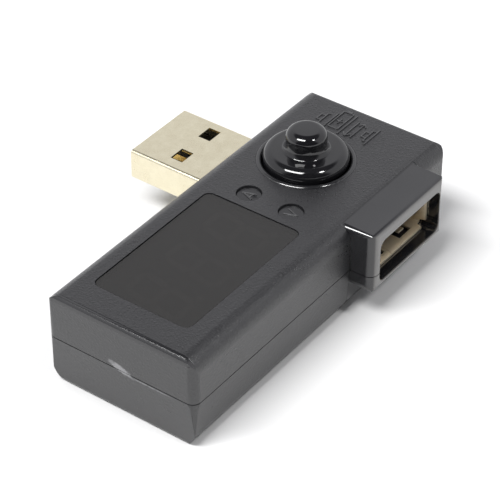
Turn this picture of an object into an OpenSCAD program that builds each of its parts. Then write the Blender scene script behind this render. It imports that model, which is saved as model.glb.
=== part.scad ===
// Inline USB power meter: a drafted two-shell case with a plug on its left side, a socket
// in a boss on its right side, a three-digit display and a latching mode button.
// Millimetres, +Z up. The case's long side runs along Y. The origin is on the surface that
// the meter lies on, below the middle of the whole meter.

/* [Case] */
// Width of the case, from the plug side to the socket side
case_w = 22.4; // [22.2:0.1:23]
// Length of the case, end to end
case_l = 54; // [53.6:0.2:56]
// Height of the case
case_h = 13.7; // [13.6:0.1:13.9]
// Height of the parting line between the two shells
split_z = 7; // [6.8:0.1:7.2]
// Wall thickness of both shells
wall = 1.5; // [1.4:0.1:1.6]
// Radius of the two long top edges
top_edge_r = 2.3; // [2:0.1:2.8]
// Radius of the two long bottom edges
base_edge_r = 2.6; // [2.2:0.1:3]
// Radius of the top edges at the two ends
end_edge_r = 0.8; // [0.6:0.1:0.9]
// Radius of the four upright corners
corner_r = 1.2; // [0.9:0.1:1.3]
// How far the bottom shell leans in from the parting line to the base
draft = 0.45; // [0.3:0.05:0.5]
// Open groove between the shells at the parting line
seam_gap = 0.12; // [0.08:0.02:0.16]

/* [Socket boss] */
// How far the boss stands out of the case's side
boss_out = 3.4; // [3.3:0.1:3.6]
// Width of the boss
boss_w = 16.4; // [16:0.1:16.6]
// Middle of the boss, from the near end of the case
boss_y = 40.1; // [39.8:0.1:40.2]
// Underside of the boss
boss_low = 4.55; // [4.4:0.05:4.7]
// Top of the boss
boss_high = 13.5; // [13.3:0.1:13.5]

/* [USB plug] */
// Middle of the plug, from the near end of the case
plug_y = 38.9; // [38.7:0.1:39.1]
// Height of the plug's middle above the base
plug_z = 7.45; // [7.4:0.05:7.5]
// How far the plug stands out of the case
plug_out = 13.4; // [12.4:0.1:13.6]

/* [Display] */
// Width of the display, across the case
display_w = 14; // [13.9:0.1:14]
// Length of the display, along the case
display_l = 22.5; // [22.4:0.1:22.5]
// Height of the display above the board
display_h = 7.2; // [7:0.1:7.2]
// Height of a digit
digit_h = 9.14; // [9:0.02:9.3]
// Distance from one digit to the next
digit_pitch = 7.6; // [7.4:0.1:7.6]
// Lean of the digits
digit_slant = 8; // [6:1:10]

/* [Button] */
// Radius of the cap's flange
cap_r = 5.62; // [5.6:0.01:5.65]
// Height of the flange's top above the case while the button is locked down
cap_up = 1.75; // [1.6:0.05:1.8]
// Height of the finger knob above the flange
knob_h = 3; // [2.4:0.1:3.2]
// How far the cap rises when the lock lets go
button_rise = 1.4; // [1.2:0.1:1.4]
// How far the cap can be pressed past the lock
button_press = 0.3; // [0.2:0.05:0.3]

/* [Hidden] */
$fn = 64;

cut = 1;             // how far a cutting shape runs past what it cuts
clear = 0.15;        // gap round a part that drops into an opening
skin = 0.05;         // overlap that joins two shapes of one piece

// The whole meter's middle is at x = 0, y = 0
case_x = (plug_out - boss_out - case_w) / 2;
case_y = -case_l / 2;

// Board
board_top = 5.8;
board_t = 1.6;
board_low = board_top - board_t;
board_gap = 0.4;     // from the board's edge to the case wall
post_inset = 3.3;    // from the outside of the case to each post
post_r = 1.2;
peg_r = 0.7;
peg_top = board_top + 1.4;
post_places = [for (x = [post_inset, case_w - post_inset], y = [post_inset, case_l - post_inset]) [x, y]];

// Display and its window
display_x = 10.8;
display_y = 16;
film_t = 0.55;
film_low = 13.05;    // the film lies on a ledge just above the display
film_edge = 0.2;     // from the display's side to the film's edge
window_gap = 0.08;
window_r = 1;
stroke = 0.95;       // width of a lit segment
pin_pitch = 2.54;
pin_rows = 10.16;

// Indicator lenses
lens_r = 1.6;
lens_y = 30.2;
ampere_x = 8;
volt_x = 14.5;
lens_sunk = 0.3;

// Button and switch
button_x = 9.55;
button_y = 40.5;
hole_r = cap_r + 0.2;
bead_r = 0.4;
flange_t = 1;
knob_top_r = 2.7;
knob_neck_r = 2.68;
knob_base_r = 3.15;
switch_w = 6.8;
switch_top = case_h - wall - 0.2;
switch_wall = 0.6;
stem_w = 2.9;
slider_w = 4.8;
slider_low = board_top + 1.35;
slider_top = switch_top - switch_wall - button_rise - 0.1;
spring_low = board_top + switch_wall;
spring_top = slider_low + 1.6;
spring_r = 1.2;
spring_wire = 0.13;

// USB plug, sizes of the standard A plug
plug_w = 12;
plug_h = 4.5;
metal_t = 0.3;
plug_low = plug_z - plug_h / 2;
tongue_t = 1.84;     // insulating tongue, in plug and socket
contact_y = [-3.5, -1, 1, 3.5];
contact_w = 1;

// USB socket, sizes of the standard A socket with a short body
socket_y = boss_y + 0.3;
socket_w = 13.1;
socket_h = 5.72;
socket_low = board_top;
socket_back = 13.4;
socket_front = case_w + boss_out - 1.8;
flare = 0.25;        // how far the shell's front edge spreads
mouth_gap = 0.08;    // from the spread edge to the case
mouth_w = socket_w + 2 * (flare + mouth_gap);
mouth_low = socket_low - flare - mouth_gap;
mouth_high = socket_low + socket_h + flare + mouth_gap;
mouth_r = 1.1;

module in_case() {
    translate([case_x, case_y, 0]) children();
}

// A block between two corner points
module block(low, high) {
    translate(low) cube(high - low);
}

// A block with its middle at x, y and its underside at z
module chip(x, y, z, size) {
    translate([x - size[0] / 2, y - size[1] / 2, z]) cube(size);
}

// A rectangle with round corners, its lowest corner at the origin
module round_rect(w, h, r) {
    translate([r, 0]) square([w - 2 * r, h]);
    translate([0, r]) square([w, h - 2 * r]);
    for (x = [r, w - r], y = [r, h - r]) translate([x, y]) circle(r = r);
}

// The same with one radius for the two low corners and another for the two high ones
module round_rect_two(w, h, low_r, high_r) {
    translate([0, low_r]) square([w, h - low_r - high_r]);
    translate([low_r, 0]) square([w - 2 * low_r, h / 2]);
    translate([high_r, h / 2]) square([w - 2 * high_r, h / 2]);
    for (x = [low_r, w - low_r]) translate([x, low_r]) circle(r = low_r);
    for (x = [high_r, w - high_r]) translate([x, h - high_r]) circle(r = high_r);
}

// Extrudes an outline drawn in Y and Z along X
module along_x(from, to) {
    translate([from, 0, 0]) rotate([90, 0, 90]) linear_extrude(to - from) children();
}

// Extrudes an outline drawn in X and Z along Y
module along_y(from, to) {
    translate([0, to, 0]) rotate([90, 0, 0]) linear_extrude(to - from) children();
}

// ---- Case ----

// Cross-section of the case: upright sides above the split, leaning sides below it
module case_section(w, h, split, top_r, base_r) {
    lean = atan(draft / split);
    base_x = (base_r - (base_r - split) * sin(lean)) / cos(lean);
    side_x = base_x - base_r * cos(lean);
    side_z = base_r - base_r * sin(lean);
    translate([0, split]) square([w, h - split - top_r]);
    translate([top_r, split]) square([w - 2 * top_r, h - split]);
    for (x = [top_r, w - top_r]) translate([x, h - top_r]) circle(r = top_r);
    polygon([[0, split], [side_x, side_z], [base_x, 0],
             [w - base_x, 0], [w - side_x, side_z], [w, split]]);
    for (x = [base_x, w - base_x]) translate([x, base_r]) circle(r = base_r);
}

// The case's outer form, or the room inside it when inset by the wall
module case_form(inset, edge_r) {
    w = case_w - 2 * inset;
    l = case_l - 2 * inset;
    h = case_h - 2 * inset;
    split = split_z - inset;
    translate([inset, inset, inset]) intersection() {
        along_y(0, l) case_section(w, h, split, top_edge_r - inset, base_edge_r - inset);
        along_x(0, w) case_section(l, h, split, edge_r, edge_r);
        linear_extrude(h) round_rect(w, l, edge_r * corner_r / end_edge_r);
    }
}

// The block round the socket, sunk into the case's side
module boss_form() {
    from = case_w - top_edge_r;
    to = case_w + boss_out;
    h = boss_high - boss_low;
    intersection() {
        along_x(from, to) translate([boss_y - boss_w / 2, boss_low])
            round_rect_two(boss_w, h, 1.1, 0.6);
        linear_extrude(case_h) translate([from - 2, boss_y - boss_w / 2])
            round_rect(to - from + 2, boss_w, corner_r);
        along_y(boss_y - boss_w, boss_y + boss_w) translate([from - 2, boss_low])
            round_rect_two(to - from + 2, h, 0.9, 0.6);
    }
}

// The opening in the boss, in front of the socket and round it
module socket_mouth() {
    along_x(case_w - wall - cut, case_w + boss_out + cut) translate([socket_y - mouth_w / 2, mouth_low])
        round_rect(mouth_w, mouth_high - mouth_low, mouth_r);
}

module plug_opening() {
    block([-cut, plug_y - plug_w / 2 - clear / 2, plug_low - clear / 2],
          [wall + cut, plug_y + plug_w / 2 + clear / 2, plug_low + plug_h + clear / 2]);
}

module shell_outside() {
    union() {
        case_form(0, end_edge_r);
        boss_form();
    }
}

// The band along the split where the bottom shell's rim stands inside the top shell
module rim_band(from, to, z) {
    difference() {
        translate([from, from, split_z - skin]) cube([case_w - 2 * from, case_l - 2 * from, z + skin]);
        translate([to, to, split_z - cut]) cube([case_w - 2 * to, case_l - 2 * to, z + 2 * cut]);
    }
}

// A bar moulded on the case's top, from one corner to the other
module raised_bar(x, y, w, l) {
    block([x, y, case_h - skin], [x + w, y + l, case_h + 0.12]);
}

// A line drawing of the button over the case's surface; up points to -X
module button_sign(x, y, gap) {
    line = 0.16;
    raised_bar(x, y - 2, line, 4);
    raised_bar(x - gap - 0.5, y - 1.3, line, 2.6);
    raised_bar(x - gap - 1.2, y - 0.6, line, 1.2);
    for (side = [-1, 1]) {
        raised_bar(x - gap - 1.2, y + side * 0.6 - line / 2, 0.7, line);
        raised_bar(x - gap - 0.5, y + side * 1.3 - line / 2, 0.42, line);
    }
}

// A battery with a plus sign, for the charging position
module battery_sign(x, y) {
    line = 0.16;
    for (dx = [-0.75, 0.75]) raised_bar(x + dx - line / 2, y - 2, line, 4);
    for (dy = [-2, 2]) raised_bar(x - 0.75, y + dy - line / 2, 1.5, line);
    raised_bar(x - 0.35, y + 2, 0.7, 0.35);
    raised_bar(x - line / 2, y - 0.9, line, 1.2);
    raised_bar(x - 0.45, y - 0.3 - line / 2, 0.9, line);
}

// Two opposite arrows, for the position that passes data
module arrows_sign(x, y) {
    line = 0.16;
    for (side = [-1, 1]) {
        raised_bar(x + side * 0.45 - line / 2, y - 1.8, line, 3.6);
        for (turn = [-1, 1])
            translate([x + side * 0.45, y + side * 1.8, case_h - skin]) rotate(turn * 40)
                translate([-line / 2, side > 0 ? -0.8 : 0, 0]) cube([line, 0.8, 0.12 + skin]);
    }
}

module top_signs() {
    sign_y = 49.9;
    raised_bar(button_x - 0.08, sign_y - 2.5, 0.16, 5);
    battery_sign(button_x - 1.3, sign_y + 0.4);
    arrows_sign(button_x + 1.4, sign_y - 0.4);
    button_sign(button_x - 2.5, sign_y - 0.5, 0.55);
    button_sign(button_x + 4.1, sign_y - 0.5, 0.1);
}

module top_shell() {
    color([0.16, 0.16, 0.17]) in_case() {
        difference() {
            union() {
                difference() {
                    shell_outside();
                    case_form(wall, 0.2);
                }
                for (p = post_places) translate([p[0], p[1], board_top])
                    cylinder(r = post_r, h = case_h - wall - board_top + skin);
                // Moulded bead round the button's hole
                translate([button_x, button_y, case_h - 0.2]) rotate_extrude($fn = 128)
                    translate([hole_r + 0.35, 0]) circle(r = bead_r, $fn = 40);
            }
            difference() {
                translate([-cut, -cut, -cut]) cube([case_w + boss_out + 2 * cut, case_l + 2 * cut, split_z + seam_gap + cut]);
                for (p = post_places) translate([p[0], p[1], board_top]) cylinder(r = post_r, h = split_z);
            }
            rim_band(wall / 2, wall + skin, 0.85);
            for (p = post_places) translate([p[0], p[1], board_top - skin])
                cylinder(r = peg_r + 0.02, h = peg_top - board_top + 0.2);
            socket_mouth();
            plug_opening();
            // Window: the display stands in its lower part, and the film lies in its upper part
            chip(display_x, display_y, case_h - wall - cut,
                 [display_w + 2 * window_gap, display_l + 2 * window_gap, film_low + skin - case_h + wall + cut]);
            translate([0, 0, film_low]) linear_extrude(wall) film_outline(window_gap);
            translate([button_x, button_y, case_h - wall - cut]) cylinder(r = hole_r, h = wall + 2 * cut);
            for (x = [ampere_x, volt_x]) translate([x, lens_y, case_h - wall - cut])
                cylinder(r = lens_r + 0.08, h = wall + 2 * cut);
        }
        top_signs();
    }
}

module bottom_shell() {
    color([0.14, 0.14, 0.15]) in_case() difference() {
        union() {
            difference() {
                shell_outside();
                case_form(wall, 0.2);
                translate([-cut, -cut, split_z]) cube([case_w + boss_out + 2 * cut, case_l + 2 * cut, case_h]);
            }
            difference() {
                rim_band(wall / 2 + 0.05, wall, 0.8);
                block([-cut, plug_y - plug_w / 2 - wall, 0], [wall + cut, plug_y + plug_w / 2 + wall, case_h]);
                block([case_w / 2, boss_y - boss_w / 2, 0], [case_w + cut, boss_y + boss_w / 2, case_h]);
            }
            for (p = post_places) translate([p[0], p[1], wall - skin]) {
                cylinder(r = post_r, h = board_low - wall + skin);
                cylinder(r = peg_r, h = peg_top - wall + skin);
            }
        }
        socket_mouth();
        plug_opening();
    }
}

// ---- Display and indicators ----

module display_body() {
    color([0.85, 0.85, 0.83]) in_case() difference() {
        chip(display_x, display_y, board_top, [display_w, display_l, display_h]);
        digits(board_top + display_h - 0.5, 1);
    }
}

// Outline of the film, or of its window when spread by the gap
module film_outline(gap) {
    w = display_w + 2 * (film_edge + gap);
    l = display_l + 2 * (film_edge + gap);
    translate([display_x - w / 2, display_y - l / 2]) round_rect(w, l, window_r + gap);
}

module display_film() {
    color([0.2, 0.2, 0.2]) in_case() translate([0, 0, film_low]) linear_extrude(film_t) film_outline(0);
}

// A point of a digit: u runs along the reading direction, v points up the digit
function digit_point(u, v) = [-v, u + v * tan(digit_slant)];

// One bar of a digit with pointed ends, from a to b
module segment(a, b) {
    t = stroke / 2;
    d = (b - a) / norm(b - a);
    n = [-d[1], d[0]];
    tip = 0.08;
    corners = [a + d * tip, a + d * (t + tip) + n * t, b - d * (t + tip) + n * t,
               b - d * tip, b - d * (t + tip) - n * t, a + d * (t + tip) - n * t];
    polygon([for (c = corners) digit_point(c[0], c[1])]);
}

// Seven bars and a point
module digit() {
    w = 3.8 / 2;
    h = (digit_h - stroke) / 2;
    for (v = [-h, 0, h]) segment([-w, v], [w, v]);
    for (u = [-w, w]) {
        segment([u, 0], [u, h]);
        segment([u, -h], [u, 0]);
    }
    translate(digit_point(w + 1.2, -h)) circle(r = stroke / 2);
}

module digits(z, h) {
    for (k = [-1, 0, 1]) translate([display_x + 0.25, display_y - 0.3 + k * digit_pitch, z])
        linear_extrude(h) digit();
}

module display_segments() {
    color([0.5, 0.42, 0.38]) in_case() digits(board_top + display_h - 0.5, 0.5);
}

module pin_places() {
    for (x = [-pin_rows / 2, pin_rows / 2], k = [-2.5:1:2.5])
        translate([display_x + x, display_y + k * pin_pitch, 0]) children();
}

module display_pins() {
    color([0.8, 0.8, 0.78]) in_case() pin_places()
        translate([0, 0, board_low - 0.9]) cylinder(r = 0.25, h = board_t + 0.9);
}

// A smoked light guide with a collar that holds it under the case's top
module lens(x, letter) {
    top = case_h - lens_sunk;
    translate([x, lens_y, 0]) {
        translate([0, 0, board_top + 1.3]) cylinder(r = lens_r, h = top - board_top - 1.3);
        translate([0, 0, case_h - wall - 0.6]) cylinder(r = lens_r + 0.4, h = 0.6);
        translate([0, 0, top - skin]) intersection() {
            cylinder(r = lens_r - 0.2, h = 0.1 + skin);
            unit_letter(letter);
        }
    }
}

// The letter A or V as bars; up points to -X
module unit_letter(letter) {
    turn = letter == "A" ? 1 : -1;
    for (side = [-1, 1]) rotate(side * 20)
        translate([-0.95, side * turn * 0.3 - 0.11, 0]) cube([1.9, 0.22, 0.2]);
    if (letter == "A") translate([0.25, -0.45, 0]) cube([0.2, 0.9, 0.2]);
}

module ampere_lens() {
    color([0.25, 0.25, 0.26]) in_case() lens(ampere_x, "A");
}

module volt_lens() {
    color([0.25, 0.25, 0.26]) in_case() lens(volt_x, "V");
}

// A small surface lamp: a base with a clear block on it
module surface_led(x) {
    chip(x, lens_y, board_top, [1.25, 2, 0.35]);
    chip(x, lens_y, board_top + 0.35 - skin, [1.25, 1.3, 0.45 + skin]);
}

module ampere_led() {
    color([0.9, 0.85, 0.6]) in_case() surface_led(ampere_x);
}

module volt_led() {
    color([0.9, 0.85, 0.6]) in_case() surface_led(volt_x);
}

// ---- Board ----

module circuit_board() {
    edge = wall + board_gap;
    color([0.05, 0.35, 0.16]) in_case() difference() {
        block([edge, edge, board_low], [case_w - edge, case_l - edge, board_top]);
        // Notch for the plug's shell, and the slots for its two legs
        block([0, plug_y - plug_w / 2 - clear, 0], [2.4, plug_y + plug_w / 2 + clear, case_h]);
        for (side = [-1, 1]) chip(3.15, plug_y + side * (plug_w - metal_t) / 2, 0, [1.7, 0.7, case_h]);
        for (p = post_places) translate([p[0], p[1], 0]) cylinder(r = peg_r + 0.1, h = case_h);
        pin_places() cylinder(r = 0.4, h = case_h);
        switch_pin_places() cylinder(r = 0.5, h = case_h);
        for (y = contact_y) translate([socket_pin_x, socket_y + y, 0]) cylinder(r = 0.45, h = case_h);
        for (side = [-1, 1]) chip(socket_leg_x, socket_y + side * (socket_w - metal_t) / 2, 0, [1.9, 0.7, case_h]);
    }
}

// ---- USB plug ----

plug_tip = -plug_out;
plug_back = 2.3;

module plug_windows(z) {
    for (y = [-2.85, 3.15]) chip(plug_tip + 6.15, plug_y + y, z, [1.9, 2.5, 1]);
}

module usb_plug_shell() {
    color([0.8, 0.78, 0.7]) in_case() difference() {
        union() {
            along_x(plug_tip, plug_back) translate([plug_y - plug_w / 2, plug_low])
                round_rect(plug_w, plug_h, 0.5);
            for (side = [-1, 1])
                chip(3.3 - 1.1, plug_y + side * (plug_w - metal_t) / 2, board_low - 0.8,
                     [3.2, metal_t, plug_low + plug_h - 1 - board_low + 0.8]);
        }
        along_x(plug_tip - cut, plug_back + 2) translate([plug_y - plug_w / 2 + metal_t, plug_low + metal_t])
            round_rect(plug_w - 2 * metal_t, plug_h - 2 * metal_t, 0.2);
        plug_windows(plug_low + plug_h - metal_t - 0.3);
        plug_windows(plug_low - 0.5);
        // Below the shell only a narrow leg goes on, through the board
        for (side = [-1, 1]) {
            chip(1.3, plug_y + side * (plug_w - metal_t) / 2, board_low - cut, [2.8, 1, plug_low - board_low + cut]);
        }
    }
}

module usb_plug_insulator() {
    w = plug_w - 2 * metal_t - 0.1;
    low = plug_low + metal_t + 0.02;
    color([0.1, 0.1, 0.11]) in_case() difference() {
        union() {
            along_x(plug_tip + 0.6, plug_back) translate([plug_y - w / 2, low])
                round_rect(w, tongue_t, 0.25);
            along_x(-0.4, plug_back) translate([plug_y - w / 2, low])
                round_rect(w, plug_h - 2 * metal_t - 0.07, 0.25);
            block([plug_back - skin, plug_y - w / 2, board_top], [4.2, plug_y + w / 2, plug_low + plug_h - 0.4]);
        }
        for (y = contact_y) block([plug_tip, plug_y + y - contact_w / 2 - 0.02, low + tongue_t - 0.15],
                                  [plug_tip + 12.6, plug_y + y + contact_w / 2 + 0.02, low + tongue_t + cut / 5]);
        for (y = contact_y) block([plug_tip + 12, plug_y + y - contact_w / 2 - 0.02, low + tongue_t - 0.15],
                                  [4.2 + cut, plug_y + y + contact_w / 2 + 0.02, low + tongue_t + 0.12]);
    }
}

module usb_plug_contacts() {
    z = plug_low + metal_t + 0.02 + tongue_t;
    color([0.9, 0.7, 0.25]) in_case() for (y = contact_y) {
        start = plug_tip + (abs(y) > 2 ? 1.2 : 2.2);
        block([start, plug_y + y - contact_w / 2, z - 0.15], [4.8, plug_y + y + contact_w / 2, z + 0.08]);
        block([4.55, plug_y + y - contact_w / 2, board_top], [4.8, plug_y + y + contact_w / 2, z]);
        block([4.55, plug_y + y - contact_w / 2, board_top], [5.4, plug_y + y + contact_w / 2, board_top + 0.2]);
    }
}

// ---- USB socket ----

socket_pin_x = socket_back + 0.65;
socket_leg_x = socket_back + 3.6;
socket_top = socket_low + socket_h;

// The funnel at the shell's front: four wedges that slope outwards
module spread_edge(t, past) {
    from = socket_front - 0.8;
    to = socket_front + past;
    spread = flare * (to - from) / 0.8;
    y = socket_w / 2 - metal_t + t;
    z_low = socket_low + metal_t - t;
    z_high = socket_top - metal_t + t;
    half = [[from, 0], [from, y], [to, y + spread], [to, 0]];
    intersection() {
        translate([0, socket_y, 0]) linear_extrude(case_h) {
            polygon(half);
            mirror([0, 1]) polygon(half);
        }
        along_y(socket_y - socket_w, socket_y + socket_w)
            polygon([[from, z_low], [to, z_low - spread], [to, z_high + spread], [from, z_high]]);
        along_x(from, to) translate([socket_y - socket_w / 2 - flare, socket_low - flare])
            square([socket_w + 2 * flare, socket_h + 2 * flare]);
    }
}

module usb_socket_shell() {
    color([0.78, 0.72, 0.58]) in_case() {
        difference() {
            union() {
                along_x(socket_back, socket_front) translate([socket_y - socket_w / 2, socket_low])
                    round_rect(socket_w, socket_h, 0.4);
                spread_edge(metal_t, 0);
                for (side = [-1, 1])
                    chip(socket_leg_x, socket_y + side * (socket_w - metal_t) / 2, board_low - 0.7,
                         [1.6, metal_t, socket_h - 1]);
            }
            along_x(socket_back + metal_t, socket_front + cut)
                translate([socket_y - socket_w / 2 + metal_t, socket_low + metal_t])
                round_rect(socket_w - 2 * metal_t, socket_h - 2 * metal_t, 0.15);
            spread_edge(0, cut);
            // The spread edge is four tabs, so its corners are open
            for (side = [-1, 1], z = [socket_low - 0.3, socket_top - 0.6])
                chip(socket_front, socket_y + side * socket_w / 2, z, [1.6, 1.8, 0.9]);
            // Open lower back for the contact tails
            block([socket_back - cut, socket_y - 5, socket_low - cut],
                  [socket_back + 2.2, socket_y + 5, socket_low + 3]);
            // Windows with the spring fingers, and the seam in the floor
            for (y = [-3, 3], z = [socket_low - cut, socket_top - metal_t - skin])
                chip(socket_front - 2.9, socket_y + y, z, [4.2, 2.6, cut + metal_t + skin]);
            block([socket_back - cut, socket_y - 1.3, socket_low - cut],
                  [socket_front + cut, socket_y - 1.22, socket_low + metal_t + skin]);
        }
        for (y = [-3, 3]) {
            translate([socket_front - 5.3, socket_y + y - 0.6, socket_low]) rotate([0, -5, 0])
                cube([3.9, 1.2, 0.22]);
            translate([socket_front - 5.3, socket_y + y - 0.6, socket_top - 0.22]) rotate([0, 5, 0])
                cube([3.9, 1.2, 0.22]);
        }
    }
}

module usb_socket_insulator() {
    w = socket_w - 2 * metal_t - 0.1;
    tongue_w = 11.1;
    tongue_low = socket_low + metal_t + 2.55;
    tip = socket_front - 1;
    color([0.1, 0.1, 0.11]) in_case() difference() {
        union() {
            along_x(socket_back + metal_t + 0.02, socket_back + 1.7)
                translate([socket_y - w / 2, socket_low + metal_t + 0.02])
                round_rect(w, socket_h - 2 * metal_t - 0.04, 0.2);
            block([socket_back + 1.6, socket_y - tongue_w / 2, tongue_low],
                  [tip, socket_y + tongue_w / 2, tongue_low + tongue_t]);
        }
        for (y = contact_y) {
            block([socket_back - cut, socket_y + y - 0.52, tongue_low - 0.2],
                  [socket_back + 1.7 + skin, socket_y + y + 0.52, tongue_low + 0.12]);
            block([socket_back, socket_y + y - 0.52, socket_low - cut],
                  [socket_pin_x + 0.2, socket_y + y + 0.52, tongue_low + 0.12]);
            block([socket_back + 1.6, socket_y + y - 0.52, tongue_low - cut],
                  [tip - 0.6, socket_y + y + 0.52, tongue_low + 0.12]);
        }
    }
}

module usb_socket_contacts() {
    z = socket_low + metal_t + 2.55;
    color([0.9, 0.7, 0.25]) in_case() for (y = contact_y) {
        block([socket_pin_x - 0.12, socket_y + y - 0.5, z - 0.15],
              [socket_front - (abs(y) > 2 ? 1.8 : 2.8), socket_y + y + 0.5, z + 0.1]);
        block([socket_pin_x - 0.12, socket_y + y - 0.5, board_top + 0.1],
              [socket_pin_x + 0.12, socket_y + y + 0.5, z]);
        block([socket_pin_x - 0.12, socket_y + y - 0.3, board_low - 0.7],
              [socket_pin_x + 0.12, socket_y + y + 0.3, board_top + 0.2]);
    }
}

// ---- Switch and button ----

module at_button() {
    translate([button_x, button_y, 0]) children();
}

module switch_pin_places() {
    for (x = [-2.98, 2.98], k = [-1:1]) translate([button_x + x, button_y + k * 2.2, 0]) children();
}

module switch_body() {
    inner = slider_w + 0.3;
    color([0.12, 0.12, 0.13]) in_case() difference() {
        at_button() chip(0, 0, board_top, [switch_w, switch_w, switch_top - 0.3 - board_top]);
        at_button() chip(0, 0, board_top + switch_wall, [inner, inner, switch_top]);
        // Slot for the latch pin, and the pin's pivot hole
        at_button() chip(0, -inner / 2, board_top + 0.8, [0.9, 1.3, switch_top]);
        at_button() translate([0, -inner / 2, board_top + 1]) rotate([90, 0, 0]) cylinder(r = 0.2, h = 0.6);
        switch_pin_places() chip(0, 0, board_top - cut, [0.42, 0.56, cut + 2.2]);
    }
}

module switch_cover() {
    color([0.75, 0.75, 0.74]) in_case() difference() {
        at_button() chip(0, 0, switch_top - 0.3, [switch_w, switch_w, 0.3]);
        at_button() chip(0, 0, switch_top - cut, [stem_w + 0.3, stem_w + 0.3, 2 * cut]);
    }
}

module switch_terminals() {
    color([0.82, 0.8, 0.74]) in_case() switch_pin_places()
        chip(0, 0, board_low - 0.9, [0.36, 0.5, board_t + 0.9 + 2]);
}

module switch_plunger() {
    color([0.9, 0.9, 0.88]) in_case() at_button() difference() {
        union() {
            chip(0, 0, slider_low, [slider_w, slider_w, slider_top - slider_low]);
            chip(0, 0, slider_top - skin, [stem_w, stem_w, case_h + cap_up + 0.9 - slider_top + skin]);
        }
        // Seat of the return spring
        translate([0, 0, slider_low - cut]) cylinder(r = spring_r + 0.35, h = spring_top - slider_low + cut);
        // Latch track in one side, deeper round its heart-shaped island
        translate([0, -slider_w / 2 + 0.45, slider_low + 0.6]) rotate([90, 0, 0])
            linear_extrude(cut) track_outline();
        translate([0, -slider_w / 2 + 0.65, slider_low + 0.6]) rotate([90, 0, 0])
            linear_extrude(cut) difference() {
                track_outline();
                polygon([[0, 0.7], [0.35, 1.3], [0.3, 1.9], [0, 1.7], [-0.3, 1.9], [-0.35, 1.3]]);
            }
        // Pockets of the two sliding contacts
        for (side = [-1, 1]) chip(side * slider_w / 2, 0, slider_low + 0.5, [0.5, 3, 1.5]);
    }
}

// Outside of the closed track that the latch pin follows, in X and Z
module track_outline() {
    translate([-0.9, 0]) square([1.8, 2]);
    translate([0, 2]) circle(r = 0.9);
}

module sliding_contacts() {
    color([0.85, 0.65, 0.3]) in_case() at_button() for (side = [-1, 1])
        chip(side * (slider_w / 2 - 0.14), 0, slider_low + 0.52, [0.2, 2.9, 1.4]);
}

// Points of a ring round the spring's wire at turn t
function wire_ring(t, turns, low, high) = [
    for (k = [0:5]) let (a = 60 * k, r = spring_r + spring_wire * cos(a))
        [r * cos(360 * turns * t), r * sin(360 * turns * t),
         low + (high - low) * t + spring_wire * sin(a)]
];

module switch_spring() {
    turns = 4;
    rings = turns * 14;
    low = spring_low + spring_wire;
    high = spring_top - spring_wire;
    points = [for (i = [0:rings]) each wire_ring(i / rings, turns, low, high)];
    sides = [for (i = [0:rings - 1], k = [0:5])
        [6 * i + k, 6 * i + (k + 1) % 6, 6 * i + 6 + (k + 1) % 6, 6 * i + 6 + k]];
    ends = [[5, 4, 3, 2, 1, 0], [for (k = [0:5]) 6 * rings + k]];
    color([0.7, 0.7, 0.7]) in_case() at_button() polyhedron(points, concat(sides, ends), convexity = 10);
}

// Bent wire: one end pivots in the switch's body, the other follows the latch track
module latch_pin() {
    r = 0.16;
    y = -(slider_w + 0.3) / 2 - 0.4;
    low = board_top + 1;
    high = slider_low + 2.58;
    color([0.7, 0.7, 0.72]) in_case() at_button() {
        translate([0, y, low]) cylinder(r = r, h = high - low);
        translate([0, y, low]) rotate([90, 0, 0]) cylinder(r = r, h = 0.15);
        for (z = [low, high]) translate([0, y, z]) sphere(r = r, $fn = 24);
        translate([0, y, high]) rotate([-90, 0, 0]) cylinder(r = r, h = 0.9);
    }
}

module button_cap() {
    top = case_h + cap_up;
    skirt_low = case_h - button_rise - 0.25;
    skirt_r = cap_r - 0.55;
    hub_r = 2.4;
    hub_low = switch_top + button_press + 0.35;
    flange_edge = 1.2;
    knob_edge = 1.2;
    edge_middle = top - flange_edge;
    color([0.05, 0.05, 0.055]) in_case() at_button() difference() {
        rotate_extrude() {
            difference() {
                union() {
                    translate([0, skirt_low]) square([cap_r, edge_middle - skirt_low + skin]);
                    translate([0, edge_middle]) square([cap_r - flange_edge, flange_edge]);
                    intersection() {
                        translate([cap_r - flange_edge, edge_middle]) circle(r = flange_edge);
                        translate([0, edge_middle]) square([cap_r, flange_edge]);
                    }
                }
                translate([hub_r, skirt_low - cut]) square([skirt_r - hub_r, top - flange_t - skirt_low + cut]);
                translate([0, skirt_low - cut]) square([skirt_r, hub_low - skirt_low + cut]);
            }
            polygon([[0, top - skin], [knob_base_r, top - skin], [knob_base_r, top],
                     [knob_neck_r, top + 0.55], [knob_top_r, top + knob_h - knob_edge],
                     [0, top + knob_h - knob_edge]]);
            translate([0, top]) square([knob_top_r - knob_edge, knob_h]);
            intersection() {
                translate([knob_top_r - knob_edge, top + knob_h - knob_edge]) circle(r = knob_edge);
                translate([0, top + knob_h - knob_edge]) square([knob_top_r, knob_edge]);
            }
        }
        chip(0, 0, hub_low - cut, [stem_w + 0.02, stem_w + 0.02, top + 0.95 - hub_low + cut]);
    }
}

// ---- Parts on the board ----

module shunt_resistor() {
    color([0.12, 0.12, 0.12]) in_case() chip(9.4, 34, board_top, [6.3, 2.4, 0.6]);
}

// A small transistor case with three legs
module sot23(x, y, z, flip = false) {
    h = 1;
    base = flip ? z - h - 0.1 : z + 0.1;
    leg = flip ? z - 0.35 : z;
    chip(x, y, base, [1.3, 2.9, h]);
    for (k = [-0.95, 0.95]) chip(x - 0.9, y + k, leg, [0.9, 0.4, 0.35]);
    chip(x + 0.9, y, leg, [0.9, 0.4, 0.35]);
}

module current_amplifier() {
    color([0.1, 0.1, 0.1]) in_case() sot23(3.6, 30.4, board_top);
}

module voltage_regulator() {
    color([0.1, 0.1, 0.1]) in_case() {
        sot23(18.4, 30, board_top);
        chip(17.9, 30, board_top, [0.9, 0.4, 0.35]);
    }
}

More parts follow.
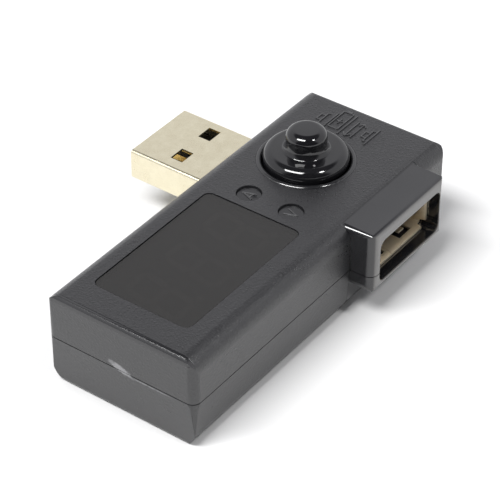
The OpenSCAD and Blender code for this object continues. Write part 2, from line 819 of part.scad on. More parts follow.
module microcontroller() {
    color([0.08, 0.08, 0.08]) in_case() chip(display_x, display_y, board_low - 1.2, [4.4, 6.5, 1.05]);
}

// Twenty legs in two rows
module microcontroller_leads() {
    color([0.8, 0.8, 0.8]) in_case() for (side = [-1, 1], k = [-4.5:1:4.5]) {
        y = display_y + k * 0.65;
        chip(display_x + side * 2.9, y, board_low - 0.15, [1, 0.22, 0.15]);
        chip(display_x + side * 2.48, y, board_low - 0.75, [0.16, 0.22, 0.62]);
        chip(display_x + side * 2.36, y, board_low - 0.75, [0.32, 0.22, 0.15]);
    }
}

module digit_transistors() {
    color([0.1, 0.1, 0.1]) in_case() for (k = [-1:1]) sot23(display_x + 4 * k, 26.4, board_low, true);
}

module chip_resistors() {
    color([0.15, 0.15, 0.15]) in_case() {
        for (k = [0:7]) chip(display_x - 4.9 + 1.4 * k, 7.4, board_low - 0.45, [0.8, 1.6, 0.45]);
        for (k = [0:3]) chip(7 + 1.4 * k, 48.4, board_top, [0.8, 1.6, 0.45]);
    }
}

module chip_capacitors() {
    color([0.7, 0.58, 0.42]) in_case() {
        for (x = [5.6, 15.7]) chip(x, 51.2, board_top, [2, 1.25, 0.9]);
        for (k = [0:2]) chip(6.5 + 4 * k, 31, board_low - 0.8, [1.6, 0.8, 0.8]);
        chip(18.9, 34.5 - 3.2, board_low - 1.2, [1.6, 3.2, 1.2]);
    }
}

top_shell();
bottom_shell();
display_body();
display_film();
display_segments();
display_pins();
ampere_lens();
volt_lens();
ampere_led();
volt_led();
circuit_board();
usb_plug_shell();
usb_plug_insulator();
usb_plug_contacts();
usb_socket_shell();
usb_socket_insulator();
usb_socket_contacts();
switch_body();
switch_cover();
switch_terminals();
switch_plunger();
sliding_contacts();
switch_spring();
latch_pin();
button_cap();
shunt_resistor();
current_amplifier();
voltage_regulator();
microcontroller();
microcontroller_leads();
digit_transistors();
chip_resistors();
chip_capacitors();
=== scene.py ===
# %% [markdown]
# # An inline USB power meter
# The meter is a black moulded case with a plug on its left side and a socket in a boss on its
# right side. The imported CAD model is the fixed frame: it says where every part is, in metres.
# This lesson gives each visible part its fine edges and its finish, and lights it like a
# product picture. The CAD model comes first, so that every later size can be read from it.

import math

import bmesh
import bpy
from mathutils import Matrix, Vector


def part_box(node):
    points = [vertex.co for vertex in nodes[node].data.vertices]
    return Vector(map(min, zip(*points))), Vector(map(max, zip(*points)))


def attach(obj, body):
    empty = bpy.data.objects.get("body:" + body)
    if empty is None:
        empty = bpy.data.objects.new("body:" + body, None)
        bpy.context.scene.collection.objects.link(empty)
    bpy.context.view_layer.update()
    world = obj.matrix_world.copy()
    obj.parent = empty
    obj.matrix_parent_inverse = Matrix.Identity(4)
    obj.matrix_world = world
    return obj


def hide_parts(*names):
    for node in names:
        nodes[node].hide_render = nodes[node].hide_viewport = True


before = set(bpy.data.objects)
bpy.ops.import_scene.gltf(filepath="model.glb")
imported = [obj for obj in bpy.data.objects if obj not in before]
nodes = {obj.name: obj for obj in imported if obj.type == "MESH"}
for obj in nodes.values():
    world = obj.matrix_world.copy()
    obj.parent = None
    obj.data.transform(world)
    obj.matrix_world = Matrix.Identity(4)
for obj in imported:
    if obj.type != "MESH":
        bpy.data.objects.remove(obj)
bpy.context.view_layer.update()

# %% [markdown]
# ## Measuring from the case's corner
# A maker measures this object from one corner of the case, in millimetres: X from the plug
# side, Y from the display end, Z from the base. One small function turns such a place into
# the frame's metres, so the numbers below are the ones a caliper would give.

# %% Case corner and caliper sizes
MM = 0.001
case_low, case_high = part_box("top_shell")
CASE_TOP = 13.7
CASE_LENGTH = 54.0


def at(x, y, z=0.0):
    """A place in the frame, from millimetres measured at the case's corner."""
    return Vector((case_low.x + x * MM, case_low.y + y * MM, z * MM))


print("case corner:", at(0, 0, 0)[:], "case top:", round(case_high.z / MM, 2))

# %% [markdown]
# ## Camera
# A long lens from far away keeps the edges nearly parallel, as in a catalogue picture of a
# small object. The camera stands to the right of the display end and looks down on the meter.
# Its direction is built from two angles, so it can be checked with a protractor.

# %% Camera
CAMERA_AZIMUTH = math.radians(36.24)
CAMERA_ELEVATION = math.radians(38.03)
CAMERA_ROLL = math.radians(0.06)
CAMERA_DISTANCE = 281.17 * MM
CAMERA_LENS = 158.02
camera_target = at(8.389, 29.888, 5.0)
to_camera = Vector((
    math.sin(CAMERA_AZIMUTH) * math.cos(CAMERA_ELEVATION),
    -math.cos(CAMERA_AZIMUTH) * math.cos(CAMERA_ELEVATION),
    math.sin(CAMERA_ELEVATION),
))

camera_data = bpy.data.cameras.new("camera")
camera_data.sensor_width = 36
camera_data.lens = CAMERA_LENS
camera_data.clip_start, camera_data.clip_end = 0.01, 20
camera = bpy.data.objects.new("camera", camera_data)
bpy.context.scene.collection.objects.link(camera)
camera.location = camera_target + CAMERA_DISTANCE * to_camera
facing = (-to_camera).to_track_quat("-Z", "Y").to_matrix()
camera.rotation_euler = (facing @ Matrix.Rotation(CAMERA_ROLL, 3, "Z")).to_euler()
bpy.context.scene.camera = camera
print("camera", round(CAMERA_DISTANCE / MM), "mm away, lens", CAMERA_LENS, "mm")

# %% [markdown]
# ## A small language for materials
# A material is a graph of nodes, and a graph is hard to read as a list of links. Here one
# class wraps a socket and overloads the operators of arithmetic, so a mask reads as a
# formula. The other class is the bench on which one finish is mixed: a single method makes
# any node, sets it up, and connects what it is given. The Mix node has one set of sockets for
# each kind of value, so those for colours are called by their place in its lists.

# %% Sockets as numbers
MIX_COLOUR_A, MIX_COLOUR_B, MIX_COLOUR_RESULT = 6, 7, 2


class Strand:
    """The output of a node, ready to be used in a formula."""

    def __init__(self, bench, socket):
        self.bench, self.socket = bench, socket

    def math(self, operation, *values):
        return self.bench.node("ShaderNodeMath", {"operation": operation}, dict(enumerate(values)))

    def __add__(self, other):
        return self.math("ADD", self, other)

    def __sub__(self, other):
        return self.math("SUBTRACT", self, other)

    def __rsub__(self, other):
        return self.math("SUBTRACT", other, self)

    def __mul__(self, other):
        return self.math("MULTIPLY", self, other)

    def __truediv__(self, other):
        return self.math("DIVIDE", self, other)

    def __abs__(self):
        return self.math("ABSOLUTE", self)

    __radd__, __rmul__ = __add__, __mul__

    def root(self):
        return self.math("SQRT", self)

    def larger(self, other):
        return self.math("MAXIMUM", self, other)

    def between(self, low, high):
        """0 below low, 1 above high, and a smooth rise from one to the other."""
        return self.bench.node(
            "ShaderNodeMapRange",
            {"interpolation_type": "SMOOTHSTEP"},
            {"Value": self, "From Min": low, "From Max": high},
        )


class Bench:
    """Where one finish is mixed."""

    def __init__(self, name):
        self.material = bpy.data.materials.new(name)
        self.material.use_nodes = True
        self.tree = self.material.node_tree
        self.tree.nodes.clear()
        self.place = self.node("ShaderNodeTexCoord", output="Object")
        self.x, self.y, self.z = self.split(self.place)

    def node(self, kind, settings=None, inputs=None, output=0):
        made = self.tree.nodes.new(kind)
        for key, value in (settings or {}).items():
            setattr(made, key, value)
        for key, value in (inputs or {}).items():
            if isinstance(value, Strand):
                self.tree.links.new(value.socket, made.inputs[key])
            else:
                made.inputs[key].default_value = value
        return Strand(self, made.outputs[output])

    def split(self, vector):
        made = self.node("ShaderNodeSeparateXYZ", inputs={"Vector": vector})
        outputs = made.socket.node.outputs
        return [Strand(self, outputs[axis]) for axis in "XYZ"]

    def noise(self, size, detail=2.0, roughness=0.5, stretch=None):
        """Cloudy grain, lumps about size metres across. A stretch under 1 draws them out."""
        vector = self.place
        if stretch:
            vector = self.node("ShaderNodeMapping", inputs={"Vector": vector, "Scale": stretch})
        return self.node("ShaderNodeTexNoise", inputs={
            "Vector": vector, "Scale": 1 / size, "Detail": detail, "Roughness": roughness})

    def cells(self, size):
        """Distance to the middle of the nearest of many cells, size metres across."""
        return self.node("ShaderNodeTexVoronoi", inputs={"Vector": self.place, "Scale": 1 / size})

    def blend(self, share, first, second):
        """A colour that goes from first to second as share goes from 0 to 1."""
        inputs = {"Factor": share}
        for socket, colour in ((MIX_COLOUR_A, first), (MIX_COLOUR_B, second)):
            inputs[socket] = colour if isinstance(colour, Strand) else (*colour, 1)
        return self.node("ShaderNodeMix", {"data_type": "RGBA"}, inputs, MIX_COLOUR_RESULT)

    def bump(self, height, distance, strength):
        """Small relief: distance is how deep a height of 1 looks, in metres."""
        return self.node("ShaderNodeBump", inputs={
            "Height": height, "Distance": distance, "Strength": strength})

    def surface(self, **sockets):
        """The finished surface. Names are the shader's sockets, with _ for a space."""
        inputs = {key.replace("_", " "): value for key, value in sockets.items()}
        shader = self.node("ShaderNodeBsdfPrincipled", inputs=inputs)
        end = self.tree.nodes.new("ShaderNodeOutputMaterial")
        self.tree.links.new(shader.socket, end.inputs["Surface"])
        print("finish", self.material.name, "has", len(self.tree.nodes), "nodes")
        return self.material


print("colours enter a Mix node at", MIX_COLOUR_A, "and", MIX_COLOUR_B)

# %% [markdown]
# ## Where the case is polished
# The case is moulded from black ABS in a tool whose steel was spark-eroded, which leaves a
# fine grain. Three places are smoother: the boss round the socket and the bead round the
# button's hole were polished in the tool, and the top edges of both ends are worn. Each place
# is a mask, a number from 0 to 1, worked out from millimetres measured at the case's corner.

# %% Masks of the smooth places
BOSS_X, BOSS_Y, BOSS_HALF_WIDTH = 20.8, 40.1, 8.22
BOSS_FACE = 25.8
BUTTON_X, BUTTON_Y = 9.55, 40.5
BEAD_INSIDE, BEAD_OUTSIDE = 5.75, 6.53


def boss_mask(x, y):
    side = abs(y - BOSS_Y).between(BOSS_HALF_WIDTH - 0.1, BOSS_HALF_WIDTH + 0.1)
    return x.between(BOSS_X - 0.1, BOSS_X + 0.1) * (1 - side)


def bead_mask(x, y, z):
    across, along = x - BUTTON_X, y - BUTTON_Y
    to_axis = (across * across + along * along).root()
    outside = to_axis.between(BEAD_OUTSIDE - 0.02, BEAD_OUTSIDE + 0.04)
    inside = to_axis.between(BEAD_INSIDE - 0.05, BEAD_INSIDE)
    return inside * (1 - outside) * z.between(CASE_TOP - 0.3, CASE_TOP)


def end_edge_mask(y, z):
    middle = CASE_LENGTH / 2
    near_an_end = abs(y - middle).between(middle - 0.75, middle - 0.6)
    return near_an_end * z.between(CASE_TOP - 1.0, CASE_TOP - 0.7)


print("polished bead:", round(BEAD_OUTSIDE - BEAD_INSIDE, 2), "mm wide")

# %% [markdown]
# ## Scuff and flash at the display end
# A whitish scuff lies across the joint line at the display end, with a trace of moulding flash
# beside it. The scuff is a slanting ellipse whose outline a coarse noise makes ragged, and the
# flash is a thin band that fades out at both its ends. Both lie only on the end face.

# %% Masks of the scuff and the flash
SCUFF_X, SCUFF_Z = 11.4, 7.3
SCUFF_HALF_LENGTH, SCUFF_HALF_HEIGHT, SCUFF_SLANT = 1.75, 0.5, 0.9
FLASH_START, FLASH_END, FLASH_HEIGHT = 12.6, 19.6, 6.78


def scuff_mask(x, z, ragged):
    across = (x - SCUFF_X) / SCUFF_HALF_LENGTH
    upward = (z - SCUFF_Z) / SCUFF_HALF_HEIGHT + across * SCUFF_SLANT
    reach = across * across + upward * upward + (ragged - 0.5) * 3.2
    return 1 - reach.between(0.1, 1.5)


def flash_mask(x, z, ragged):
    starts = x.between(FLASH_START, FLASH_START + 1.5)
    ends = x.between(FLASH_END - 2.5, FLASH_END)
    off_the_line = abs(z - FLASH_HEIGHT).between(0.03, 0.16)
    return starts * (1 - ends) * (1 - off_the_line) * ragged.between(0.35, 0.55)


print("scuff:", 2 * SCUFF_HALF_LENGTH, "mm long, flash:", round(FLASH_END - FLASH_START, 1), "mm")

# %% [markdown]
# ## Finish of the case
# The grain is far too fine to model, so noise and small cells make it as a bump, and the same
# noise mottles the colour a little. The signs on the top stand proud, and their tops get a
# lighter colour, a painted highlight of the light that their raised edges catch. The boss's
# front face gets a lighter colour too, a painted reflection of the bright floor in that face.

# %% Black ABS with a fine grain
ABS_DARK, ABS_LIGHT = (0.005, 0.005, 0.006), (0.016, 0.016, 0.018)
# Painted light: the sign colour is a painted highlight on the raised signs, and the colour after
# it a painted reflection of the floor on the boss's front face.
SIGN_HIGHLIGHT_COLOUR, PAINTED_REFLECTION_COLOUR = (0.035, 0.035, 0.037), (0.125, 0.122, 0.118)
FLASH_COLOUR, SCUFF_COLOUR = (0.16, 0.16, 0.17), (0.27, 0.27, 0.28)
POLISHED, GRAINED_BY, SCUFFED_BY = 0.15, 0.16, 0.25
GRAIN_SIZE, PIMPLE_SIZE, GRAIN_DEPTH = 0.2 * MM, 0.42 * MM, 0.09 * MM


def case_plastic():
    b = Bench("case_plastic")
    x, y, z = (b.x - case_low.x) / MM, (b.y - case_low.y) / MM, b.z / MM
    bead = bead_mask(x, y, z)
    textured = 1 - boss_mask(x, y).larger(bead).larger(end_edge_mask(y, z) * 0.9)
    grain = b.noise(GRAIN_SIZE, 3, 0.65)
    pimples = 1 - b.cells(PIMPLE_SIZE).between(0.0, 0.6)
    cloud = b.noise(6 * MM, 2)
    ragged = b.noise(0.4 * MM, 4, 0.75)
    end_face = 1 - y.between(0.1, 0.4)
    scuff = scuff_mask(x, z, ragged) * end_face

    mottle = (cloud - 0.5) * 0.6 + (grain - 0.5) * textured * 2.4 + 0.5
    # Painted highlight: the tops of the raised signs are lighter, standing in for light caught by
    # their edges.
    painted_sign_highlight = z.between(CASE_TOP + 0.04, CASE_TOP + 0.09) * (1 - bead)
    # Painted reflection of the bright floor on the boss's front face, a little uneven.
    painted_floor_reflection = x.between(BOSS_FACE - 0.25, BOSS_FACE - 0.05) * (0.75 + cloud * 0.4)
    colour = b.blend(mottle, ABS_DARK, ABS_LIGHT)
    colour = b.blend(painted_sign_highlight * 0.8, colour, SIGN_HIGHLIGHT_COLOUR)
    colour = b.blend(painted_floor_reflection, colour, PAINTED_REFLECTION_COLOUR)
    colour = b.blend(flash_mask(x, z, ragged) * end_face * 0.9, colour, FLASH_COLOUR)
    colour = b.blend(scuff * 0.8, colour, SCUFF_COLOUR)

    grained = textured * (GRAINED_BY + (cloud - 0.5) * 0.1) - pimples * textured * 0.03
    roughness = POLISHED + grained + scuff * SCUFFED_BY
    height = (grain * 0.7 + pimples * 0.2) * (0.02 + textured * 0.98)
    relief = b.bump(height, GRAIN_DEPTH, 0.9)
    return b.surface(Base_Color=colour, Roughness=roughness, IOR=1.7, Normal=relief)


CASE_FINISH = case_plastic()

# %% [markdown]
# ## Finish of the button
# The cap is moulded in a mirror-polished cavity. Only dust, a few hairline scratches and a
# finger's smear break its gloss, so roughness changes a little and the bump is very faint.


# %% Polished black plastic
def cap_plastic():
    b = Bench("cap_plastic")
    smear = b.noise(2.2 * MM, 3, 0.6)
    hairline = b.noise(0.25 * MM, 2, 0.5, stretch=(1, 0.12, 1))
    colour = b.blend(smear, (0.004, 0.004, 0.005), (0.007, 0.007, 0.008))
    roughness = 0.05 + smear.between(0.45, 0.75) * 0.07
    relief = b.bump(hairline, 0.003 * MM, 0.12)
    return b.surface(Base_Color=colour, Roughness=roughness, IOR=1.6, Normal=relief)


CAP_FINISH = cap_plastic()

# %% [markdown]
# ## Finishes of the display and the lenses
# The display is dark until it is switched on: a smoked film lies over a face that is printed
# dark, and the unlit bars show through it only as a faint, warmer grey. The film lets part of
# the light through with its alpha. The lenses are smoked too, but so deep that they look solid.

# %% Smoked plastics and the display's resin
DISPLAY_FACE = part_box("display_body")[1].z
LENS_TOP = CASE_TOP - 0.3


def smoked_film():
    b = Bench("display_tint")
    cloud = b.noise(3 * MM, 3, 0.6)
    specks = b.cells(0.9 * MM)
    colour = b.blend(cloud, (0.0105, 0.0098, 0.009), (0.0135, 0.0125, 0.0115))
    roughness = 0.2 + cloud * 0.07 + (1 - specks.between(0.03, 0.09)) * 0.2
    relief = b.bump(b.noise(0.6 * MM, 2), 0.002 * MM, 0.25)
    return b.surface(Base_Color=colour, Roughness=roughness, IOR=1.58, Alpha=0.76, Normal=relief)


def display_resin():
    b = Bench("display_block")
    printed = b.z.between(DISPLAY_FACE - 0.06 * MM, DISPLAY_FACE - 0.02 * MM)
    cloud = b.noise(1.2 * MM, 3)
    resin = b.blend(cloud, (0.62, 0.62, 0.58), (0.72, 0.72, 0.68))
    colour = b.blend(printed, resin, (0.012, 0.011, 0.01))
    relief = b.bump(b.noise(0.2 * MM, 2), 0.003 * MM, 0.3)
    return b.surface(Base_Color=colour, Roughness=0.45 + cloud * 0.1, Normal=relief)


def display_bars():
    b = Bench("display_bars")
    cloud = b.noise(0.8 * MM, 2)
    colour = b.blend(cloud, (0.2, 0.165, 0.145), (0.26, 0.215, 0.19))
    return b.surface(Base_Color=colour, Roughness=0.4 + cloud * 0.1)


def lens_smoke():
    b = Bench("lens_smoke")
    cloud = b.noise(0.7 * MM, 3)
    letters = b.z.between((LENS_TOP + 0.02) * MM, (LENS_TOP + 0.08) * MM)
    glass = b.blend(cloud, (0.008, 0.008, 0.009), (0.016, 0.016, 0.018))
    colour = b.blend(letters * 0.7, glass, (0.06, 0.06, 0.062))
    relief = b.bump(b.noise(0.2 * MM, 2), 0.006 * MM, 0.35)
    return b.surface(Base_Color=colour, Roughness=0.16 + cloud * 0.12, IOR=1.5, Normal=relief)


FILM_FINISH, RESIN_FINISH = smoked_film(), display_resin()
BAR_FINISH, LENS_FINISH = display_bars(), lens_smoke()

# %% [markdown]
# ## Metal finishes
# Plug and socket shells are folded from nickel-plated strip. Rolling leaves fine lines along
# the strip, handling leaves a soft haze, and plating gathers a warm tint. All of that is
# roughness and a little colour, so one function makes every metal from a few numbers.


# %% Plated and drawn metals
def plated(name, bright, dull, roughness, lines=(1, 1, 1), haze=0.12):
    """A metal. lines stretches its rolling marks, and haze is how much they dull it."""
    b = Bench(name)
    cloud = b.noise(1.6 * MM, 4, 0.6)
    rolled = b.noise(0.12 * MM, 2, 0.5, stretch=lines)
    pits = b.cells(0.5 * MM)
    colour = b.blend(cloud.between(0.25, 0.75), bright, dull)
    rough = roughness + cloud * haze + (1 - pits.between(0.02, 0.1)) * 0.15
    relief = b.bump(rolled, 0.004 * MM, 0.5)
    return b.surface(Base_Color=colour, Metallic=1.0, Roughness=rough, Normal=relief)


ALONG_X, ALONG_Z = (0.08, 1, 1), (1, 1, 0.2)
PLUG_FINISH = plated(
    "plug_nickel", (0.84, 0.78, 0.59), (0.78, 0.715, 0.53), 0.2, lines=ALONG_X)
SOCKET_FINISH = plated(
    "socket_nickel", (1.0, 0.89, 0.7), (0.95, 0.83, 0.63), 0.42, lines=ALONG_X)
GOLD_FINISH = plated("contact_gold", (0.92, 0.68, 0.28), (0.85, 0.6, 0.22), 0.2, haze=0.08)
TIN_FINISH = plated("tinned_metal", (0.74, 0.74, 0.72), (0.62, 0.62, 0.6), 0.28)
WIRE_FINISH = plated("spring_steel", (0.6, 0.6, 0.61), (0.5, 0.5, 0.51), 0.22, lines=ALONG_Z)

# %% [markdown]
# ## Finishes inside the case
# Most of these parts are seen only through an opening, but each still gets its own plastic,
# resin or ceramic, since the part may be taken apart or used without its case.


# %% Insulators, board and small parts
def moulded(name, light, dark, roughness, grain=0.15, depth=0.01, ior=1.5):
    """A plain plastic, resin or ceramic. The grain's size and depth are in millimetres."""
    b = Bench(name)
    cloud = b.noise(1.5 * MM, 3)
    colour = b.blend(cloud, light, dark)
    relief = b.bump(b.noise(grain * MM, 2, 0.6), depth * MM, 0.5)
    return b.surface(Base_Color=colour, Roughness=roughness + cloud * 0.12, IOR=ior, Normal=relief)


def board_laminate():
    b = Bench("board_laminate")
    lengthways = b.noise(0.35 * MM, 1, 0.5, stretch=(1, 0.25, 1))
    weave = lengthways + b.noise(0.35 * MM, 1, 0.5, stretch=(0.25, 1, 1))
    tracks = b.cells(2.4 * MM).between(0.42, 0.46)
    mask = b.blend(tracks, (0.006, 0.07, 0.03), (0.012, 0.12, 0.05))
    relief = b.bump(weave * 0.3 + tracks, 0.02 * MM, 0.4)
    return b.surface(Base_Color=mask, Roughness=0.25 + weave * 0.08, Normal=relief)


BLACK_FINISH = moulded(
    "black_insulator", (0.008, 0.008, 0.008), (0.014, 0.014, 0.014), 0.5, ior=1.3)
SLIDER_FINISH = moulded("slider_plastic", (0.74, 0.74, 0.7), (0.66, 0.66, 0.62), 0.35)
EPOXY_FINISH = moulded("chip_epoxy", (0.015, 0.015, 0.016), (0.028, 0.028, 0.03), 0.5, 0.08)
CERAMIC_FINISH = moulded("ceramic_tan", (0.42, 0.32, 0.2), (0.34, 0.25, 0.15), 0.4, 0.1)
AMBER_FINISH = moulded("led_resin", (0.8, 0.7, 0.42), (0.7, 0.6, 0.34), 0.1, 0.4, 0.004)
BOARD_FINISH = board_laminate()

# %% [markdown]
# ## From a CAD solid to a finished piece
# A CAD solid has perfectly sharp edges, which no moulding or pressing has, and sharp edges
# catch no light. Its mesh is also loose triangles. So a copy is merged, its flat faces are
# joined again, and the edges that turn sharply get a narrow round. The copy then stands for
# the CAD node, which stays untouched. Weighted normals keep the large faces flat.


# %% Rounding the edges of a copy
def merged_copy(node):
    """A bmesh of the node's shape, with one vertex where the CAD mesh has several."""
    bm = bmesh.new()
    bm.from_mesh(nodes[node].data)
    bmesh.ops.remove_doubles(bm, verts=bm.verts, dist=0.002 * MM)
    bmesh.ops.dissolve_limit(
        bm, angle_limit=math.radians(0.6), verts=bm.verts, edges=bm.edges, delimit=set())
    return bm


def round_edges(bm, radius, segments=2, sharper_than=30, wanted=None):
    """Rounds the edges that turn by more than an angle, and that wanted() accepts."""
    sharp = [
        e for e in bm.edges
        if e.is_manifold and e.calc_face_angle() > math.radians(sharper_than)
        and (wanted is None or wanted(e))
    ]
    bmesh.ops.bevel(
        bm, geom=sharp, offset=radius * MM, offset_type="OFFSET", segments=segments, profile=0.5,
        affect="EDGES", clamp_overlap=True, material=-1, loop_slide=True)
    return len(sharp)


def make_piece(bm, name, finish, body="meter", replaces=(), smooth_below=40):
    """Turns a bmesh into a piece that rides on a body and stands for CAD nodes."""
    mesh = bpy.data.meshes.new(name)
    open_edges = sum(not e.is_manifold for e in bm.edges)
    bm.to_mesh(mesh)
    bm.free()
    mesh.shade_smooth()
    mesh.set_sharp_from_angle(angle=math.radians(smooth_below))
    mesh.materials.append(finish)
    piece = bpy.data.objects.new(name, mesh)
    bpy.context.scene.collection.objects.link(piece)
    even = piece.modifiers.new("even_normals", "WEIGHTED_NORMAL")
    even.keep_sharp = True
    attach(piece, body)
    if replaces:
        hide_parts(*replaces)
    print(f"{name}: {len(mesh.polygons)} faces, {open_edges} open edges")
    return piece


# %% [markdown]
# ## The two shells of the case
# The case is two mouldings that meet at a parting line. A real parting line is visible because
# each shell's edge has a tiny round there, and the groove between the rounds stays dark. The
# larger rounds, such as those of the boss, are in the CAD shape already.

# %% Top and bottom shell
for node, name in (("top_shell", "case_top"), ("bottom_shell", "case_base")):
    shell = merged_copy(node)
    rounded = round_edges(shell, 0.06)
    make_piece(shell, name, CASE_FINISH, replaces=[node])
    print(" ", rounded, "sharp edges rounded")

# %% [markdown]
# ## The button's cap
# The cap is a turned shape: a flange, a finger knob with a flared foot, and a skirt and hub
# underneath. A half profile spun round an axis makes it in one operation. The rings at the
# knob's top and at the flange's rim are rounded afterwards, because a bevel makes a true arc
# of any size.

# %% Spin the cap
FLANGE_TOP = CASE_TOP + 1.75
KNOB_TOP = FLANGE_TOP + 3.0
ROOF = FLANGE_TOP - 1.0
HUB_LOW = CASE_TOP - 1.05
KNOB_RADIUS, NECK_RADIUS, FOOT_RADIUS = 2.7, 2.68, 3.15
FLANGE_RADIUS, SKIRT_INSIDE, HUB_RADIUS = 5.62, 5.07, 2.4
ROUND = 1.2
cap_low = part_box("button_cap")[0].z / MM
# Radius and height of each corner, from the knob's middle down to the skirt and back up inside
cap_profile = [
    (0.0, KNOB_TOP), (KNOB_RADIUS, KNOB_TOP), (KNOB_RADIUS, KNOB_TOP - ROUND),
    (NECK_RADIUS, FLANGE_TOP + 0.55), (FOOT_RADIUS, FLANGE_TOP), (FLANGE_RADIUS, FLANGE_TOP),
    (FLANGE_RADIUS, cap_low), (SKIRT_INSIDE, cap_low), (SKIRT_INSIDE, ROOF),
    (HUB_RADIUS, ROOF), (HUB_RADIUS, HUB_LOW), (0.0, HUB_LOW),
]
cap = bmesh.new()
corners = [cap.verts.new(at(BUTTON_X + r, BUTTON_Y, z)) for r, z in cap_profile]
outline = [cap.edges.new(pair) for pair in zip(corners, corners[1:])]
bmesh.ops.spin(
    cap, geom=corners + outline, cent=at(BUTTON_X, BUTTON_Y), axis=(0, 0, 1),
    angle=math.tau, steps=96, use_merge=True)
bmesh.ops.remove_doubles(cap, verts=cap.verts, dist=0.001 * MM)
bmesh.ops.recalc_face_normals(cap, faces=cap.faces)


def ring(bm, radius, height):
    """The edges of one ring round the button's axis."""
    centre = at(BUTTON_X, BUTTON_Y, height)
    return [
        e for e in bm.edges
        if all(abs(v.co.z - centre.z) < 0.001 * MM
               and abs((v.co - centre).length - radius * MM) < 0.002 * MM for v in e.verts)
    ]


# The knob's round stops a little short of the knob's next corner
for radius, height, round_size, steps in (
    (KNOB_RADIUS, KNOB_TOP, ROUND - 0.01, 12),
    (FLANGE_RADIUS, FLANGE_TOP, ROUND, 12),
    (FOOT_RADIUS, FLANGE_TOP, 0.12, 3),
    (FLANGE_RADIUS, cap_low, 0.08, 2),
    (SKIRT_INSIDE, cap_low, 0.08, 2),
):
    bmesh.ops.bevel(
        cap, geom=ring(cap, radius, height), offset=round_size * MM, offset_type="OFFSET",
        segments=steps, profile=0.5, affect="EDGES", clamp_overlap=True, material=-1)
make_piece(cap, "mode_button", CAP_FINISH, "button", ["button_cap"], 50)

# %% [markdown]
# ## The display's film
# The film is a thin plate that fills the window just below the case's top. It is a box with
# its edges eased, resting a hair above the display's face, so that the two never share a plane.

# %% Film over the display
FILM_CORNER = 1.0 * MM
film_low, film_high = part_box("display_film")
film_low.z += 0.02 * MM
film = bmesh.new()
bmesh.ops.create_cube(film, size=1)
bmesh.ops.scale(film, vec=film_high - film_low, verts=film.verts)
bmesh.ops.translate(film, vec=(film_low + film_high) / 2, verts=film.verts)
upright = [e for e in film.edges if abs(e.verts[0].co.z - e.verts[1].co.z) > 0.1 * MM]
bmesh.ops.bevel(
    film, geom=upright, offset=FILM_CORNER, offset_type="OFFSET", segments=10, profile=0.5,
    affect="EDGES", clamp_overlap=True, material=-1)
round_edges(film, 0.05)
make_piece(film, "display_window", FILM_FINISH, replaces=["display_film"])

# %% [markdown]
# ## Lenses beside the button
# Each lens is a smoked light guide with a raised unit letter. It sits in a round well, and
# its rim is eased, so a thin crescent of light shows where the well ends.

# %% Lenses
for node in ("ampere_lens", "volt_lens"):
    lens = merged_copy(node)
    round_edges(lens, 0.04)
    make_piece(lens, node + "_eased", LENS_FINISH, replaces=[node])

# %% [markdown]
# ## Plug and socket
# Both shells are pressed from strip 0.3 mm thick. Punched windows and cut ends have a small
# round that shines as a bright line, and the strip's own faces are seen at the plug's tip.
# The insulators and contacts get narrower rounds, as moulded and stamped parts have.

# %% Metal shells, insulators and contacts
PORT_PIECES = (
    ("usb_plug_shell", "plug_jacket", PLUG_FINISH, "plug_nickel", 0.09, 3),
    ("usb_plug_insulator", "plug_tongue", BLACK_FINISH, "black_insulator", 0.06, 2),
    ("usb_plug_contacts", "plug_contacts", GOLD_FINISH, "contact_gold", 0.03, 2),
    ("usb_socket_shell", "socket_jacket", SOCKET_FINISH, "socket_nickel", 0.08, 3),
    ("usb_socket_insulator", "socket_tongue", BLACK_FINISH, "black_insulator", 0.06, 2),
    ("usb_socket_contacts", "socket_contacts", GOLD_FINISH, "contact_gold", 0.03, 2),
)
for node, name, finish, slot, radius, steps in PORT_PIECES:
    port = merged_copy(node)
    round_edges(port, radius, steps)
    make_piece(port, name, finish, replaces=[node])

# %% [markdown]
# ## The parts that keep their CAD shape
# Inside the case the CAD shapes are already right: chips, pins, the board, the switch. Each
# node only needs its finish in place of the flat colour that it came with.

# %% Finishes for the inner nodes
INNER_FINISHES = {
    "display_body": RESIN_FINISH, "display_segments": BAR_FINISH, "display_pins": TIN_FINISH,
    "ampere_led": AMBER_FINISH, "volt_led": AMBER_FINISH, "circuit_board": BOARD_FINISH,
    "switch_body": BLACK_FINISH, "switch_cover": TIN_FINISH, "switch_terminals": TIN_FINISH,
    "switch_plunger": SLIDER_FINISH, "sliding_contacts": GOLD_FINISH,
    "switch_spring": WIRE_FINISH, "latch_pin": WIRE_FINISH, "shunt_resistor": EPOXY_FINISH,
    "current_amplifier": EPOXY_FINISH, "voltage_regulator": EPOXY_FINISH,
    "microcontroller": EPOXY_FINISH, "microcontroller_leads": TIN_FINISH,
    "digit_transistors": EPOXY_FINISH, "chip_resistors": EPOXY_FINISH,
    "chip_capacitors": CERAMIC_FINISH,
}
for node, finish in INNER_FINISHES.items():
    nodes[node].data.materials.clear()
    nodes[node].data.materials.append(finish)
print(len(INNER_FINISHES), "inner nodes have a finish")

# %% [markdown]
# ## Floor and light
# A small glossy object shows its surroundings, so the surroundings are the light. A white
# sweep glows beside and behind the meter. It fades to a dark ceiling and to a dark room on the
# camera's side, which give the rounded edges their black lines. A wide lamp over the display
# end, turned a little, and a small one over the socket side make the two highlights on every
# glossy rim.

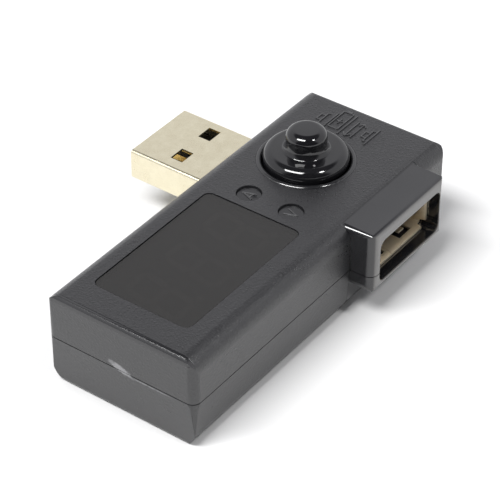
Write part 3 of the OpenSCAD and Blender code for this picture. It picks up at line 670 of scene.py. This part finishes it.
# %% Floor
FLOOR_SIZE = 6.0
PAPER_DARK, PAPER_LIGHT = (0.69, 0.69, 0.69), (0.71, 0.71, 0.71)
floor_shape = bmesh.new()
bmesh.ops.create_grid(floor_shape, x_segments=1, y_segments=1, size=FLOOR_SIZE / 2)
bmesh.ops.translate(floor_shape, vec=(0, 0, -0.01 * MM), verts=floor_shape.verts)
floor_mesh = bpy.data.meshes.new("floor")
floor_shape.to_mesh(floor_mesh)
floor_shape.free()
floor = bpy.data.objects.new("floor", floor_mesh)
bpy.context.scene.collection.objects.link(floor)
paper = Bench("floor_paper")
fibre = paper.noise(40 * MM, 3)
floor_mesh.materials.append(paper.surface(
    Base_Color=paper.blend(fibre, PAPER_DARK, PAPER_LIGHT), Roughness=0.85 + fibre * 0.05))

# %% Sweep of light from the surroundings
world = bpy.data.worlds.new("studio")
bpy.context.scene.world = world
world.use_nodes = True
world.node_tree.nodes.clear()
studio = world.node_tree


def studio_node(kind, settings=None, inputs=None):
    made = studio.nodes.new(kind)
    for key, value in (settings or {}).items():
        setattr(made, key, value)
    for key, value in (inputs or {}).items():
        if isinstance(value, bpy.types.NodeSocket):
            studio.links.new(value, made.inputs[key])
        else:
            made.inputs[key].default_value = value
    return made.outputs


def studio_step(value, low, high, from_value, to_value):
    """A smooth change of brightness between two places of the room."""
    return studio_node("ShaderNodeMapRange", {"interpolation_type": "SMOOTHSTEP"}, {
        "Value": value, "From Min": low, "From Max": high,
        "To Min": from_value, "To Max": to_value})[0]


SWEEP, CEILING, ROOM = 0.84, 0.1, 0.06
SWEEP_TOP, CEILING_START = 0.68, 0.82
direction = studio_node("ShaderNodeTexCoord")["Generated"]
height = studio_node("ShaderNodeSeparateXYZ", inputs={"Vector": direction})["Z"]
towards_camera = studio_node("ShaderNodeVectorMath", {"operation": "DOT_PRODUCT"}, {
    0: direction, 1: (math.sin(CAMERA_AZIMUTH), -math.cos(CAMERA_AZIMUTH), 0)})["Value"]
overhead = studio_step(height, SWEEP_TOP, CEILING_START, SWEEP, CEILING)
in_front = studio_step(towards_camera, 0.35, 0.65, 1, ROOM)
strength = studio_node("ShaderNodeMath", {"operation": "MULTIPLY"}, {0: overhead, 1: in_front})[0]
glow = studio_node("ShaderNodeBackground", inputs={"Color": (1, 1, 1.03, 1), "Strength": strength})
studio_node("ShaderNodeOutputWorld", inputs={"Surface": glow["Background"]})
print("sweep glows up to", round(math.degrees(math.asin(SWEEP_TOP))), "degrees")


# %% Lamps
def lamp(name, azimuth, elevation, distance, size, watts, shape="RECTANGLE", roll=0):
    """A soft lamp that looks at the meter. Azimuth 0 is the display end, 90 the socket side."""
    data = bpy.data.lights.new(name, "AREA")
    data.shape = shape
    data.size, data.size_y = size
    data.energy = watts
    a, e = math.radians(azimuth), math.radians(elevation)
    way = Vector((math.sin(a) * math.cos(e), -math.cos(a) * math.cos(e), math.sin(e)))
    light = bpy.data.objects.new(name, data)
    bpy.context.scene.collection.objects.link(light)
    light.location = camera_target + way * distance
    turned = way.to_track_quat("Z", "Y").to_matrix() @ Matrix.Rotation(math.radians(roll), 3, "Z")
    light.rotation_euler = turned.to_euler()
    print(name, watts, "W, radiance", round(watts / (math.pi * size[0] * size[1]), 1))
    return light


lamp("wide_lamp", -12, 59.8, 1.0, (0.62, 0.28), 13.5, roll=22)
lamp("round_lamp", 94, 57, 1.0, (0.17, 0.17), 3.0, "DISK")

bpy.context.scene.view_settings.view_transform = "Standard"
